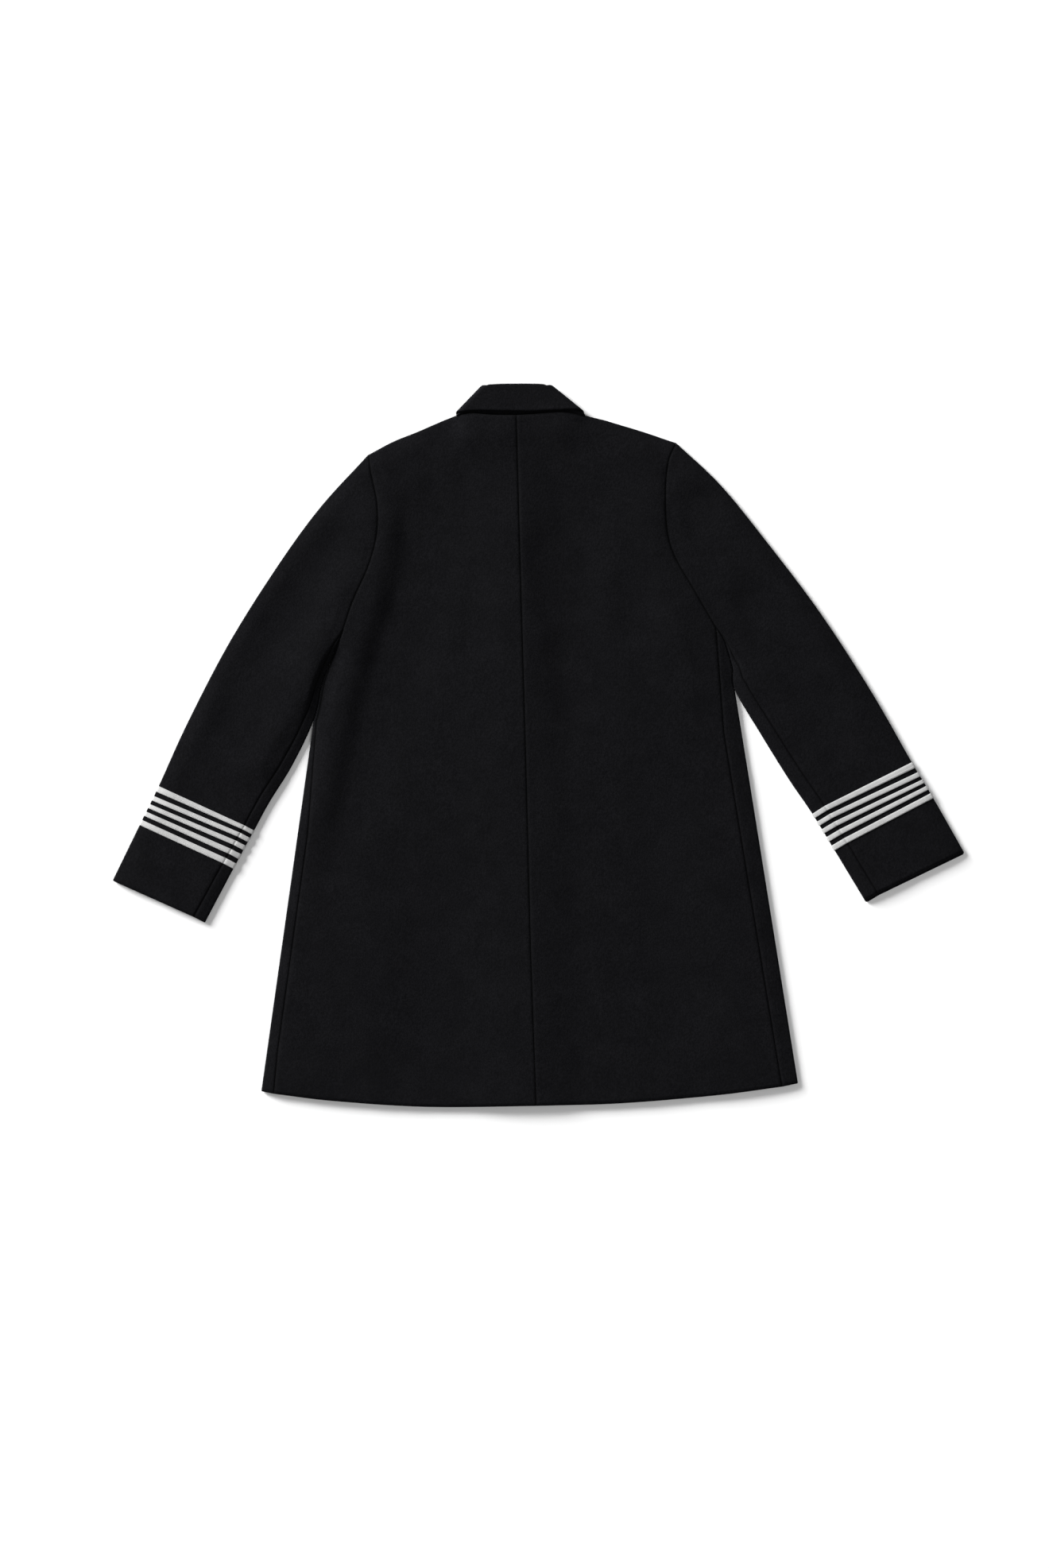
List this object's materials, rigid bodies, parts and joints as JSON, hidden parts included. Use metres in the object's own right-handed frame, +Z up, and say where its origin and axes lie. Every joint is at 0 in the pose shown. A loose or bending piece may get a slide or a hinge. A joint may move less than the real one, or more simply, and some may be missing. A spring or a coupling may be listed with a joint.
{
  "type": "wool coat",
  "caption": "A-line sailor coat in thick dark wool, laid flat on its front: set-in sleeves, stand-and-fall collar, grey braid stripes round the cuffs.",
  "frame": {"origin": "centre of the bounding box in plan, on the surface that the coat lies on", "axes": "+X from cuff to cuff towards the wearer's right sleeve, +Y from hem to collar, +Z up out of the back"},
  "size_m": [1.0707, 0.9093, 0.01],
  "materials": {
    "wool": "thick fulled melton wool, near black, matt",
    "braid": "flat ribbed woven braid, light grey",
    "button": "dark dished four-hole button"
  },
  "bodies": {
    "root": {"back_left": "wool", "back_right": "wool", "front_left": "wool", "front_right": "wool", "sleeve_top_left": "wool", "sleeve_top_right": "wool", "sleeve_under_left": "wool", "sleeve_under_right": "wool", "collar": "wool", "collar_stand": "wool", "braid_1_top_left": "braid", "braid_1_top_right": "braid", "braid_1_under_left": "braid", "braid_1_under_right": "braid", "braid_2_top_left": "braid", "braid_2_top_right": "braid", "braid_2_under_left": "braid", "braid_2_under_right": "braid", "braid_3_top_left": "braid", "braid_3_top_right": "braid", "braid_3_under_left": "braid", "braid_3_under_right": "braid", "braid_4_top_left": "braid", "braid_4_top_right": "braid", "braid_4_under_left": "braid", "braid_4_under_right": "braid", "braid_5_top_left": "braid", "braid_5_top_right": "braid", "braid_5_under_left": "braid", "braid_5_under_right": "braid", "button_1": "button", "button_2": "button", "button_3": "button", "button_4": "button"}
  },
  "joints": []
}
